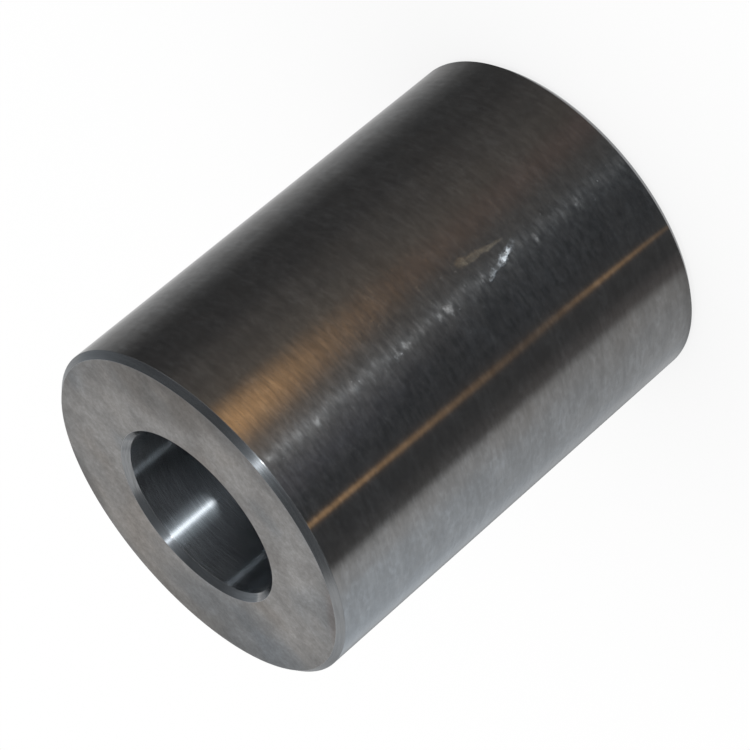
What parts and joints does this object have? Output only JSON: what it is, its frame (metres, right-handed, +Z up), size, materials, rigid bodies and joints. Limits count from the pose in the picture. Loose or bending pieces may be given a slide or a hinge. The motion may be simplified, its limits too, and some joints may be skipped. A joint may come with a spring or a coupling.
{
  "type": "spacer sleeve",
  "caption": "Thick-walled plain steel spacer sleeve: a turned cylinder with a straight through bore, square-faced ends and broken rims.",
  "frame": {"origin": "centre of the lower end face, on the surface that the sleeve stands on", "axes": "+Z up the bore axis; the sleeve is round, so +X and +Y are any two square radial directions"},
  "size_m": [0.06, 0.06, 0.08],
  "materials": {
    "turned_steel": "bare turned steel, dull bright, with fine lathe rings and faint brown staining"
  },
  "bodies": {
    "root": {"sleeve": "turned_steel"}
  },
  "joints": []
}
